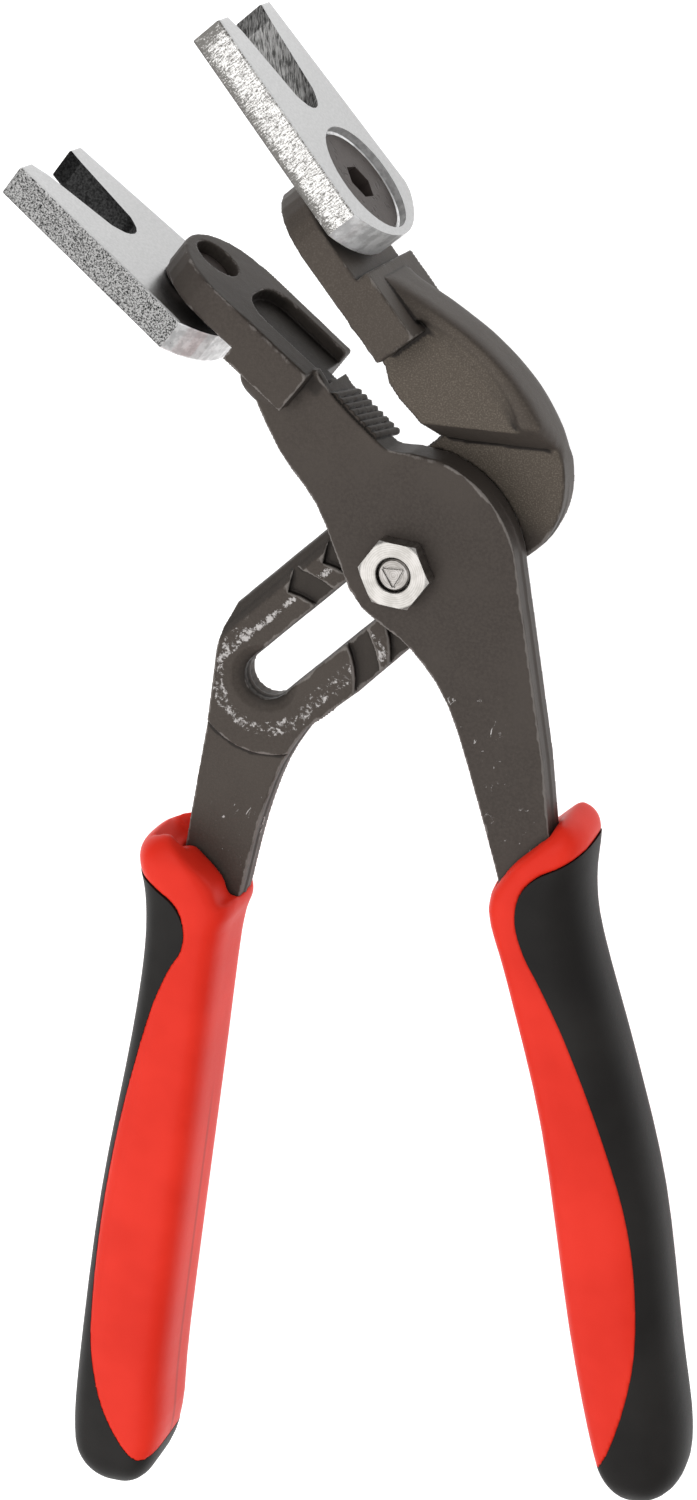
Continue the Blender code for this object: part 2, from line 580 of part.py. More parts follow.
def grip_solid(name, outer, inner, offset, scale=1.0, mat=None):
    """A rounded bar between two side curves, built of superellipse sections along the handle."""
    outer, inner = smooth(outer, 4), smooth(inner, 4)
    top, bottom = outer[0][1], outer[-1][1]
    length = top - bottom
    count, sides = 30, 28
    side = 1 if inner[0][0] > outer[0][0] else -1
    bm = bmesh.new()
    rings = []
    for i in range(count + 1):
        u = 0.5 - 0.5 * math.cos(math.pi * i / count)
        y = top - length * (0.02 * i / count + 0.98 * u)
        x0, x1 = at_height(outer, y), at_height(inner, y)
        from_top, from_end = (top - y) / 6.0, (y - bottom) / 11.0
        thick = GRIP_HALF_THICKNESS * scale
        thick *= math.sqrt(max(1 - max(1 - from_top, 0) ** 2 * 0.55, 0.05))
        thick *= math.sqrt(max(1 - max(1 - from_end, 0) ** 2, 0.03))
        half = abs(x1 - x0) / 2 * scale
        ring = []
        for k in range(sides):
            a = 2 * math.pi * k / sides
            c, s = math.cos(a), math.sin(a)
            power = INNER_POWER if c * side > 0 else OUTER_POWER
            dx = math.copysign(abs(c) ** (2 / power), c) * half
            dz = math.copysign(abs(s) ** (2 / power), s) * thick
            ring.append(bm.verts.new(((x0 + x1) / 2 + dx, y, offset + dz)))
        rings.append(ring)
    for a, b in zip(rings, rings[1:]):
        for k in range(sides):
            j = (k + 1) % sides
            bm.faces.new((a[k], a[j], b[j], b[k]))
    bm.faces.new(rings[0])
    bm.faces.new(list(reversed(rings[-1])))
    return add_object(name, bm, mat)


def scaled_outline(outline, distance):
    """The outline moved outwards by a distance."""
    moved = []
    count = len(outline)
    area = sum(outline[i - 1][0] * outline[i][1] - outline[i][0] * outline[i - 1][1] for i in range(count))
    sign = 1 if area > 0 else -1
    for i in range(count):
        before = Vector(outline[i]) - Vector(outline[i - 1])
        after = Vector(outline[(i + 1) % count]) - Vector(outline[i])
        normal = before.normalized() + after.normalized()
        normal = Vector((normal.y, -normal.x)).normalized() * sign
        moved.append(tuple(Vector(outline[i]) + normal * distance))
    return moved


def grip(side, outer, inner, red_line, far_x, shank, levels, offset, red, black):
    """The red sleeve and the black inlay share one outer shape, parted by a wall along the red line."""
    line = smooth(red_line, 3)
    red_side = line + [(far_x, line[-1][1]), (far_x, line[0][1] + 10), (line[0][0], line[0][1] + 10)]
    sleeve = grip_solid(side + "_grip_sleeve", outer, inner, offset, mat=red)
    inlay = grip_solid(side + "_grip_inlay", outer, inner, offset, mat=black)
    low, high = levels
    core = scaled_outline(shank, SHANK_CLEARANCE)
    for piece, operation, grow in ((sleeve, "INTERSECT", 0.0), (inlay, "DIFFERENCE", GAP)):
        wall = prism(piece.name + "_wall", scaled_outline(red_side, grow), -20, 20)
        boolean(piece, operation, [wall])
        cut(piece, [prism(piece.name + "_core", core, low - SHANK_CLEARANCE, high + SHANK_CLEARANCE)])
    return sleeve


def right_shank():
    return [(13.5, -38.0), (18.9, -57.0), (26.5, -85.0), (37.5, -140.0), (46.5, -140.0), (38.6, -100.0),
            (31.5, -70.0), (27.9, -46.0), (27.0, -38.0)]


def left_shank():
    return [(-43.3, -48.0), (-46.1, -62.0), (-53.0, -90.0), (-63.5, -150.0), (-54.5, -150.0), (-41.0, -90.0),
            (-34.6, -68.5), (-31.0, -55.0), (-29.0, -48.0)]


# ---------------------------------------------------------------- assembly

def main():
    for obj in list(bpy.data.objects):
        bpy.data.objects.remove(obj)
    steel = material("phosphated_steel", (0.075, 0.068, 0.062), 0.6, 0.5)
    zinc = material("zinc", (0.75, 0.73, 0.7), 1.0, 0.3)
    chrome = material("chrome", (0.8, 0.8, 0.82), 1.0, 0.15)
    black = material("black_oxide", (0.05, 0.045, 0.04), 0.5, 0.45)
    red = material("red_plastic", (0.75, 0.04, 0.025), 0.0, 0.4)
    rubber = material("black_rubber", (0.035, 0.034, 0.033), 0.0, 0.6)
    front_arm(steel)
    rear_arm(steel)
    pivot_bolt(zinc)
    pivot_nut(zinc)
    washer("pivot_washer", SHANK_RADIUS + GAP, WASHER_RADIUS, BAR_BOTTOM - GAP - WASHER_THICKNESS, BAR_BOTTOM - GAP,
           None, zinc)
    fork_set("left", LEFT_LUG_POINT, LEFT_LUG_ANGLE, -1, LEFT_FORK_SWIVEL, chrome, black)
    fork_set("right", RIGHT_LUG_POINT, RIGHT_LUG_ANGLE, 1, RIGHT_FORK_SWIVEL, chrome, black)
    left_sleeve = grip("left", LEFT_GRIP_OUTER, LEFT_GRIP_INNER, LEFT_RED, -20, left_shank(), (BAR_BOTTOM, LAND_Z - 0.5),
                       -GRIP_OFFSET, red, rubber)
    cut(left_sleeve, [prism("left_mouth", LEFT_MOUTH, BAR_BOTTOM - 0.6, MOUTH_TOP),
                      prism("left_lip", LEFT_LIP, LAND_Z - 0.15, 2 * GRIP_HALF_THICKNESS)])
    grip("right", RIGHT_GRIP_OUTER, RIGHT_GRIP_INNER, RIGHT_RED, 5, right_shank(), (PLATE_BACK, PLATE_TOP),
         GRIP_OFFSET, red, rubber)


main()
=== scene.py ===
"""Looks of the fork pliers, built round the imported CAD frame.

Lengths are millimetres in the CAD frame, except those of the lights and the camera, which are metres.
Angles are degrees.
"""
import math

import bmesh
import bpy
import numpy as np
from mathutils import Matrix, Vector, noise


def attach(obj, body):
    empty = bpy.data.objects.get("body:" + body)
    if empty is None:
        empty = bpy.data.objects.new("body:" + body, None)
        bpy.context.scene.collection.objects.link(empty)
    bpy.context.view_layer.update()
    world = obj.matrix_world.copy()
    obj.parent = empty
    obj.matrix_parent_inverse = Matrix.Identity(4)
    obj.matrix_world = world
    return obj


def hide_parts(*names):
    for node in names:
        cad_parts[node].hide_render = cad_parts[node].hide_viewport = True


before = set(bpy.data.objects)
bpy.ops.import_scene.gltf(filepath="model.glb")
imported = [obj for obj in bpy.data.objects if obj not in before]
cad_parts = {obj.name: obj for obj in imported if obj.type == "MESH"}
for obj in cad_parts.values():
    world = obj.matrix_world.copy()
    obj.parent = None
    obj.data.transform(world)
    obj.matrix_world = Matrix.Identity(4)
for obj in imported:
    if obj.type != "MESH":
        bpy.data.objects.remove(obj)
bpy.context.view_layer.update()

MM = 0.001
LAP_Z = 11.6                            # height of the plane where the two arms lap
SLOT_DIRECTION = 41.5                   # of the slot in the rear arm, counted from x
SLOT_END = -38.6                        # centre of the slot's far end, along the slot from the pivot
LEFT_LUG = (-39.8, 47.2, 140.0)         # x and y of the fork's screw, and direction of the lug
RIGHT_LUG = (-14.6, 62.2, 127.6)
FLOOR_Z = -22.0
FLOOR_HALF_WIDTH = 2500.0


# ---------------------------------------------------------------- small geometry

def smooth_line(points, steps=4):
    """A Catmull-Rom curve through the points, with its ends kept."""
    padded = [points[0]] + list(points) + [points[-1]]
    curve = []
    for i in range(1, len(padded) - 2):
        p0, p1, p2, p3 = (Vector(p) for p in padded[i - 1:i + 3])
        for k in range(steps):
            t = k / steps
            curve.append(tuple(0.5 * (2 * p1 + (p2 - p0) * t
                                      + (2 * p0 - 5 * p1 + 4 * p2 - p3) * t * t
                                      + (3 * p1 - p0 - 3 * p2 + p3) * t ** 3)))
    curve.append(tuple(points[-1]))
    return curve


def at_height(curve, y):
    """x where a curve that runs down crosses the height y."""
    for (x0, y0), (x1, y1) in zip(curve, curve[1:]):
        if y1 <= y <= y0:
            return x0 + (x1 - x0) * (y0 - y) / max(y0 - y1, 1e-9)
    return curve[-1][0]


def mesh_of(bm, name):
    """Turn a bmesh drawn in millimetres into a mesh in metres."""
    bmesh.ops.recalc_face_normals(bm, faces=bm.faces)
    bm.transform(Matrix.Scale(MM, 4))
    mesh = bpy.data.meshes.new(name)
    bm.to_mesh(mesh)
    bm.free()
    return mesh


def placed(mesh, name):
    """A new object in the scene with the mesh."""
    obj = bpy.data.objects.new(name, mesh)
    bpy.context.scene.collection.objects.link(obj)
    return obj


def prism_mesh(name, outline, low, high):
    """A closed prism over the outline, between two heights."""
    bm = bmesh.new()
    bottom = [bm.verts.new((x, y, low)) for x, y in outline]
    top = [bm.verts.new((x, y, high)) for x, y in outline]
    for i in range(len(outline)):
        j = (i + 1) % len(outline)
        bm.faces.new((bottom[i], bottom[j], top[j], top[i]))
    bm.faces.new(top)
    bm.faces.new(list(reversed(bottom)))
    return mesh_of(bm, name)


def lump(centre, size, tilt=0.0):
    """A small ellipsoid, for flash and other raised marks of the forging."""
    bm = bmesh.new()
    bmesh.ops.create_icosphere(bm, subdivisions=3, radius=1.0)
    bm.transform(Matrix.Translation(centre) @ Matrix.Rotation(math.radians(tilt), 4, "Z")
                 @ Matrix.Diagonal((*size, 1.0)))
    return mesh_of(bm, "lump")


def evaluated(obj):
    """The object's mesh with its modifiers applied; the object itself goes."""
    bpy.context.view_layer.update()
    graph = bpy.context.evaluated_depsgraph_get()
    mesh = bpy.data.meshes.new_from_object(obj.evaluated_get(graph))
    bpy.data.objects.remove(obj)
    return mesh


def combined(base, operation, tool):
    """base and tool joined by an exact boolean."""
    target, cutter = placed(base, "target"), placed(tool, "cutter")
    modifier = target.modifiers.new("boolean", "BOOLEAN")
    modifier.operation = operation
    modifier.solver = "EXACT"
    modifier.object = cutter
    mesh = evaluated(target)
    bpy.data.objects.remove(cutter)
    return mesh


def even_skin(mesh, lumps, depth):
    """The mesh joined with the lumps, as one closed skin of small even faces."""
    base = mesh.copy()
    for extra in lumps:
        base = combined(base, "UNION", extra)
    obj = placed(base, "source")
    modifier = obj.modifiers.new("remesh", "REMESH")
    modifier.mode = "SHARP"
    modifier.octree_depth = depth
    modifier.scale = 0.95
    modifier.sharpness = 1.0
    return evaluated(obj)


RELAX_SHRINK = 0.5
RELAX_GROW = 0.52


class Skin:
    """Arrays of a dense mesh, in millimetres, with the operations that finish its surface."""

    def __init__(self, mesh):
        self.mesh = mesh
        count = len(mesh.vertices)
        flat = np.zeros(count * 3)
        mesh.vertices.foreach_get("co", flat)
        self.co = flat.reshape(-1, 3) / MM
        ends = np.zeros(len(mesh.edges) * 2, int)
        mesh.edges.foreach_get("vertices", ends)
        self.start, self.stop = ends[0::2], ends[1::2]
        self.degree = np.bincount(ends, minlength=count)

    def mean(self, values):
        """Each vertex's mean of its neighbours' values."""
        count = len(self.degree)
        total = (np.bincount(self.start, values[self.stop], count)
                 + np.bincount(self.stop, values[self.start], count))
        return total / self.degree

    def pull(self):
        """The way from each vertex to the mean of its neighbours."""
        return np.stack([self.mean(self.co[:, k]) for k in range(3)], 1) - self.co

    def relax(self, rounds):
        """Round off the edges without shrinking the whole."""
        for _ in range(rounds):
            self.co += RELAX_SHRINK * self.pull()
            self.co -= RELAX_GROW * self.pull()

    def melt(self, share, rounds):
        """Smooth away the edges where share is near 1."""
        for _ in range(rounds):
            self.co += RELAX_SHRINK * self.pull() * share[:, None]

    def write(self):
        """Copy the vertex positions back into the mesh."""
        self.mesh.vertices.foreach_set("co", (self.co * MM).ravel())
        self.mesh.update()

    def normals(self):
        self.write()
        flat = np.zeros(len(self.co) * 3)
        self.mesh.vertex_normals.foreach_get("vector", flat)
        return flat.reshape(-1, 3)

    def push(self, heights):
        """Move each vertex along its normal."""
        self.co += self.normals() * heights[:, None]

    def bend(self, cell, spread):
        """Above zero on convex edges and below it in hollows."""
        value = -(self.pull() * self.normals()).sum(1) / cell
        for _ in range(spread):
            value = 0.5 * value + 0.5 * self.mean(value)
        return value

    def grain(self, scale, seed):
        """Soft noise between about -1 and 1, of the given feature size."""
        offset = Vector((seed * 7.3, seed * 3.1, seed * 5.7))
        return np.array([noise.noise(Vector(p) / scale + offset) for p in self.co.tolist()])

    def keep(self, name, values):
        """Store values on the vertices, for the material."""
        self.mesh.attributes.new(name, "FLOAT", "POINT").data.foreach_set("value", values)


def band(values, low, high, soft):
    """1 between low and high, falling to 0 over soft."""
    rise = np.clip((values - low) / soft + 0.5, 0, 1)
    fall = np.clip((high - values) / soft + 0.5, 0, 1)
    return rise * fall


# ---------------------------------------------------------------- materials

def node(tree, kind, inputs=None, **settings):
    """A new shader node; an input given as a socket is linked, and any other value is set."""
    made = tree.nodes.new("ShaderNode" + kind)
    for key, value in settings.items():
        setattr(made, key, value)
    for key, value in (inputs or {}).items():
        if isinstance(value, bpy.types.NodeSocket):
            tree.links.new(value, made.inputs[key])
        else:
            made.inputs[key].default_value = value
    return made


def place(tree, stretch=(1.0, 1.0, 1.0), turn=(0.0, 0.0, 0.0)):
    """Object coordinates in millimetres, turned and then stretched."""
    source = node(tree, "TexCoord").outputs["Object"]
    turned = node(tree, "Mapping", {"Vector": source, "Rotation": tuple(math.radians(a) for a in turn)})
    scale = tuple(s / MM for s in stretch)
    return node(tree, "Mapping", {"Vector": turned.outputs[0], "Scale": scale}).outputs[0]


def noisy(tree, coords, size, detail=3.0, rough=0.55, distortion=0.0):
    """Noise of the given feature size in millimetres."""
    return node(tree, "TexNoise", {"Vector": coords, "Scale": 1.0 / size, "Detail": detail,
                                   "Roughness": rough, "Distortion": distortion}).outputs["Fac"]


def maths(tree, operation, a, b):
    return node(tree, "Math", {0: a, 1: b}, operation=operation).outputs[0]


def step(tree, value, low, high):
    """0 below low and 1 above high."""
    return node(tree, "MapRange", {"Value": value, "From Min": low, "From Max": high},
                interpolation_type="SMOOTHSTEP").outputs[0]


def between(tree, factor, a, b):
    """A number from a to b."""
    return node(tree, "MapRange", {"Value": factor, "To Min": a, "To Max": b}).outputs[0]


def tint(tree, factor, a, b):
    """A colour from a to b."""
    made = node(tree, "Mix", {"Factor": factor}, data_type="RGBA")
    for index, value in ((6, a), (7, b)):
        if isinstance(value, bpy.types.NodeSocket):
            tree.links.new(value, made.inputs[index])
        else:
            made.inputs[index].default_value = (*value, 1.0)
    return made.outputs[2]


def attribute(tree, name):
    return node(tree, "Attribute", attribute_name=name).outputs["Fac"]


def bumps(tree, layers, rounding=0.0):
    """Bump layers of (height, depth in millimetres), over edges rounded by the given radius."""
    normal = None
    if rounding:
        normal = node(tree, "Bevel", {"Radius": rounding * MM}, samples=6).outputs[0]
    for height, depth in layers:
        inputs = {"Height": height, "Distance": depth * MM, "Strength": 1.0}
        if normal:
            inputs["Normal"] = normal
        normal = node(tree, "Bump", inputs).outputs[0]
    return normal


def new_material(name):
    material = bpy.data.materials.new(name)
    material.use_nodes = True
    return material, material.node_tree, material.node_tree.nodes["Principled BSDF"]


def feed(tree, shader, **values):
    """Set or link the shader's sockets; a socket's name has _ for its spaces."""
    for key, value in values.items():
        socket = shader.inputs[key.replace("_", " ")]
        if isinstance(value, bpy.types.NodeSocket):
            tree.links.new(value, socket)
        elif isinstance(value, tuple):
            socket.default_value = (*value, 1.0)
        else:
            socket.default_value = value


def forged_steel():
    """Brown-black phosphated steel, worn bright on its edges and where the parts rub."""
    material, tree, shader = new_material("forged_steel")
    coords = place(tree)
    cloud = noisy(tree, coords, 14.0, 4.0)
    fine = noisy(tree, coords, 0.55, 2.0)
    specks = noisy(tree, coords, 0.28, 1.0)
    smear = noisy(tree, place(tree, (1.0, 0.25, 1.0)), 2.2, 4.0, 0.65)
    colour = tint(tree, step(tree, cloud, 0.35, 0.68), (0.033, 0.0273, 0.0242), (0.045, 0.038, 0.0333))
    colour = tint(tree, step(tree, fine, 0.2, 0.85), colour, (0.051, 0.043, 0.0375))
    cast = attribute(tree, "cast")
    sand = tint(tree, step(tree, specks, 0.42, 0.80), (0.070, 0.058, 0.046), (0.128, 0.108, 0.088))
    colour = tint(tree, cast, colour, sand)
    # painted shade: the colour goes to near black in hollows and creases
    hollow_shade = step(tree, attribute(tree, "hollow_shade"), 0.02, 0.5)
    colour = tint(tree, hollow_shade, colour, (0.012, 0.0105, 0.0095))
    # painted shade: the colour is darkened towards near black in the left lug's pocket and on the slotted
    # bar's notch floors and sloped strip, broken up by the smear noise
    shade_amount = maths(tree, "MULTIPLY", attribute(tree, "painted_shade"), between(tree, smear, 0.5, 1.1))
    colour = tint(tree, shade_amount, colour, (0.013, 0.0115, 0.0105))
    ragged = node(tree, "Math", {0: smear, 1: 1.6, 2: -0.80}, operation="MULTIPLY_ADD").outputs[0]
    edge = step(tree, maths(tree, "ADD", attribute(tree, "edge"), ragged), 0.42, 0.85)
    rubs = noisy(tree, coords, 1.1, 5.0, 0.75, 0.4)
    worn = step(tree, maths(tree, "ADD", attribute(tree, "worn"), rubs), 1.13, 1.24)
    knocks = noisy(tree, place(tree, (1.0, 0.55, 1.0), (0, 0, 25)), 1.5, 5.0, 0.7, 0.8)
    nicks = step(tree, maths(tree, "ADD", attribute(tree, "nicked"), knocks), 1.30, 1.36)
    colour = tint(tree, maths(tree, "MULTIPLY", edge, 0.5), colour, (0.26, 0.24, 0.225))
    bright = maths(tree, "MAXIMUM", worn, nicks)
    colour = tint(tree, bright, colour, (0.46, 0.44, 0.43))
    rough = between(tree, fine, 0.40, 0.58)
    rough = maths(tree, "SUBTRACT", rough, maths(tree, "MULTIPLY", edge, 0.12))
    grain = maths(tree, "ADD", maths(tree, "MULTIPLY", cast, 1.6), 0.5)
    height = maths(tree, "MULTIPLY", maths(tree, "ADD", specks, fine), grain)
    feed(tree, shader, Base_Color=colour, Metallic=0.0, Roughness=rough, Specular_IOR_Level=0.22,
         Specular_Tint=(1.0, 0.88, 0.80),
         Normal=bumps(tree, [(height, 0.035), (cloud, 0.12), (bright, 0.02)]))
    return material


def chrome(name, dark, light, size, contrast, rough, depth,
           stretch=(1.0, 1.0, 1.0), turn=(0.0, 0.0, 0.0), metallic=1.0):
    """Plated steel with a machined pattern; stretch draws the pattern out along an axis."""
    material, tree, shader = new_material(name)
    pattern = noisy(tree, place(tree, stretch, turn), size, 3.0, 0.6)
    cloud = noisy(tree, place(tree), 6.0, 2.0)
    factor = step(tree, maths(tree, "ADD", pattern, maths(tree, "MULTIPLY", cloud, 0.12)),
                  0.56 - contrast, 0.56 + contrast)
    feed(tree, shader, Base_Color=tint(tree, factor, dark, light), Metallic=metallic,
         Roughness=between(tree, pattern, rough[0], rough[1]),
         Normal=bumps(tree, [(pattern, depth)]))
    return material


BEYOND_FORK = (400.0, 401.0)            # so far out that no painted shade falls on the fork


def sawn_chrome(name, turn, dark, light, stretch, shade_edge=BEYOND_FORK, shade_tip=BEYOND_FORK, dimming=0.0):
    """The thin side of a fork: plated over saw marks, with painted shade near one edge and near the tip.

    The painted shade grows between the two positions given for the edge, across the fork, and between
    the two given for the tip, along it.
    """
    material, tree, shader = new_material(name)
    local = place(tree, turn=(0.0, 0.0, turn))
    parts = node(tree, "SeparateXYZ", {0: local})
    marks = noisy(tree, place(tree, stretch, (0.0, 0.0, turn)), 0.34, 3.0, 0.7)
    grit = noisy(tree, local, 0.26, 2.0, 0.7)
    edge = step(tree, parts.outputs[1], *shade_edge)
    tip = step(tree, parts.outputs[0], *shade_tip)
    wander = noisy(tree, local, 3.2, 3.0)
    # painted shade: the side's colour is darkened near one edge and near the tip
    side_shade = maths(tree, "MULTIPLY", maths(tree, "MAXIMUM", edge, tip), wander)
    mixed = maths(tree, "ADD", maths(tree, "MULTIPLY", marks, 0.55), maths(tree, "MULTIPLY", grit, 0.45))
    level = maths(tree, "SUBTRACT", mixed, maths(tree, "MULTIPLY", side_shade, dimming))
    factor = step(tree, level, 0.40, 0.58)
    feed(tree, shader, Base_Color=tint(tree, factor, dark, light), Metallic=1.0,
         Roughness=between(tree, marks, 0.24, 0.44), Normal=bumps(tree, [(mixed, 0.03)]))
    return material


def turned_steel(name, dark, light):
    """Turned face with fine rings round the pivot's axis."""
    material, tree, shader = new_material(name)
    coords = place(tree)
    waves = {"Vector": coords, "Scale": 0.8, "Distortion": 1.0, "Detail": 3.0, "Detail Scale": 0.6}
    rings = node(tree, "TexWave", waves, wave_type="RINGS", rings_direction="Z").outputs["Fac"]
    cloud = noisy(tree, coords, 2.2, 3.0)
    factor = maths(tree, "ADD", maths(tree, "MULTIPLY", rings, 0.16), maths(tree, "MULTIPLY", cloud, 0.84))
    feed(tree, shader, Base_Color=tint(tree, step(tree, factor, 0.32, 0.68), dark, light),
         Metallic=1.0, Roughness=between(tree, factor, 0.26, 0.42),
         Normal=bumps(tree, [(rings, 0.006), (cloud, 0.02)], 0.2))
    return material


def black_oxide():
    """Blackened steel, mottled, dented and a little scuffed."""
    material, tree, shader = new_material("black_oxide")
    coords = place(tree)
    cloud = noisy(tree, coords, 3.0, 4.0)
    fine = noisy(tree, coords, 0.4, 2.0)
    scuff = step(tree, noisy(tree, coords, 0.9, 5.0, 0.8, 0.6), 0.68, 0.76)
    dents = step(tree, noisy(tree, coords, 1.3, 1.0), 0.60, 0.70)
    colour = tint(tree, cloud, (0.030, 0.0235, 0.021), (0.062, 0.050, 0.046))
    colour = tint(tree, maths(tree, "MULTIPLY", dents, 0.5), colour, (0.018, 0.014, 0.013))
    colour = tint(tree, maths(tree, "MULTIPLY", scuff, 0.5), colour, (0.16, 0.14, 0.135))
    feed(tree, shader, Base_Color=colour, Roughness=between(tree, fine, 0.36, 0.52),
         Specular_IOR_Level=0.25, Specular_Tint=(1.0, 0.88, 0.82),
         Normal=bumps(tree, [(fine, 0.02), (cloud, 0.05), (dents, -0.05)], 0.25))
    return material


def moulded(name, dark, light, rough, depth, shine):
    """Moulded plastic: faint clouds of colour, fine texture and a few scuffs."""
    material, tree, shader = new_material(name)
    coords = place(tree)
    cloud = noisy(tree, coords, 22.0, 3.0)
    fine = noisy(tree, coords, 0.35, 2.0)
    wave = noisy(tree, coords, 5.0, 2.0)
    scrapes = noisy(tree, place(tree, (1.0, 0.3, 1.0), (0, 0, 30)), 1.2, 5.0, 0.75, 0.5)
    scuff = step(tree, scrapes, 0.715, 0.75)
    colour = tint(tree, step(tree, cloud, 0.3, 0.7), dark, light)
    pale = tuple(min(1.0, c + 0.10) for c in light)
    colour = tint(tree, maths(tree, "MULTIPLY", scuff, 0.35), colour, pale)
    colour = tint(tree, attribute(tree, "seam"), colour, tuple(0.25 * c for c in dark))
    feed(tree, shader, Base_Color=colour, Roughness=between(tree, fine, rough[0], rough[1]),
         Specular_IOR_Level=shine,
         Normal=bumps(tree, [(fine, depth), (wave, 0.05), (scuff, 0.02)]))
    return material


# ---------------------------------------------------------------- arms

FORGED_DEPTH = 9                        # octree depth of an arm's skin
FORGED_CELL = 0.47                      # size of its faces at that depth
RELAX_ROUNDS = 2
MELT_ROUNDS = 70                        # for the soft surface behind the rear lug
FRONT_PARTING = LAP_Z + 4.2             # heights of the die lines
REAR_PARTING = LAP_Z - 3.6
PARTING_HEIGHT = 0.32
PARTING_WIDTH = 0.45
COARSE_GRAIN = (0.04, 5.0)              # height and feature size of the unevenness of a forged surface
FINE_GRAIN = (0.02, 1.6)


def finish_piece(mesh, name, node_name, body, material):
    """Place the mesh as the visible piece of a CAD node, riding on that node's body."""
    obj = placed(mesh, name)
    obj.data.materials.clear()
    obj.data.materials.append(material)
    obj.data.shade_smooth()
    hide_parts(node_name)
    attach(obj, body)
    return obj


def lug_coordinates(co, lug):
    """Distance along the lug from its screw, and across it towards the right."""
    x, y, angle = lug
    a = math.radians(angle)
    dx, dy = co[:, 0] - x, co[:, 1] - y
    return dx * math.cos(a) + dy * math.sin(a), dx * math.sin(a) - dy * math.cos(a)


def slot_coordinates(co):
    """Distance along the slot from the pivot, and offset to its left."""
    a = math.radians(SLOT_DIRECTION)
    x, y = co[:, 0], co[:, 1]
    return x * math.cos(a) + y * math.sin(a), y * math.cos(a) - x * math.sin(a)


def parting_ridge(skin, middle):
    """Raise the thin line that the two forging dies leave along a side wall."""
    side = np.clip((0.55 - np.abs(skin.normals()[:, 2])) / 0.3, 0, 1)
    line = np.exp(-((skin.co[:, 2] - middle) / PARTING_WIDTH) ** 2)
    return PARTING_HEIGHT * side * line * band(skin.co[:, 1], -200.0, 12.0, 8.0)


def forged_grain(skin, seed):
    """The unevenness of a forged surface."""
    coarse, fine = COARSE_GRAIN, FINE_GRAIN
    return coarse[0] * skin.grain(coarse[1], seed) + fine[0] * skin.grain(fine[1], seed + 1)


def front_arm(steel):
    """The forging with the left lug, the hub plate and the right handle's shank."""
    flash = [lump((-16.6, 29.6, LAP_Z + 4.0), (1.6, 1.0, 1.6), 20),
             lump((-14.2, 31.2, LAP_Z + 3.0), (1.2, 1.0, 1.8)),
             lump((-23.2, 30.4, LAP_Z + 6.6), (7.0, 3.6, 2.2), -24)]
    skin = Skin(even_skin(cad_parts["front_arm"].data, flash, FORGED_DEPTH))
    skin.relax(RELAX_ROUNDS)
    co = skin.co
    lugs = np.clip((co[:, 1] - 28.0) / 8.0, 0, 1)
    skin.push(forged_grain(skin, 1) + parting_ridge(skin, FRONT_PARTING))
    bend = skin.bend(FORGED_CELL, 1)
    height = co[:, 2] - LAP_Z
    top = np.clip((height - 6.0) / 2.0, 0, 1)
    teeth = band(co[:, 0] + co[:, 1] * 0.4, -3.5, 6.5, 1.0) * band(co[:, 1], 21.0, 31.5, 2.0)
    along, across = lug_coordinates(co, LEFT_LUG)
    # the left lug's pocket, darkened below as painted shade
    pocket = band(along, -30.0, -8.8, 0.8) * band(across, 2.6, 5.3, 0.8) * band(height, -8.9, 8.9, 0.6)
    skin.keep("edge", np.clip(bend * 5.0, 0, 1) * (0.65 + 0.35 * top) * (1 - 0.7 * teeth))
    # painted shade in the hollows, stronger on the lugs and the teeth
    skin.keep("hollow_shade", np.clip(-bend * 6.0, 0, 1) * (0.4 + 0.6 * np.maximum(lugs, teeth)))
    skin.keep("painted_shade", pocket)
    skin.keep("cast", 0.12 * band(co[:, 1], 18.0, 48.0, 10.0))
    skin.keep("worn", np.zeros(len(co)))
    low_shank = band(co[:, 1], -56.0, -18.0, 10.0) * band(co[:, 0] + co[:, 1] * 0.32, 0.0, 14.0, 6.0)
    skin.keep("nicked", 0.17 * low_shank * top + 0.50)
    return finish_piece(skin.mesh, "front_arm_forging", "front_arm", "front", steel)


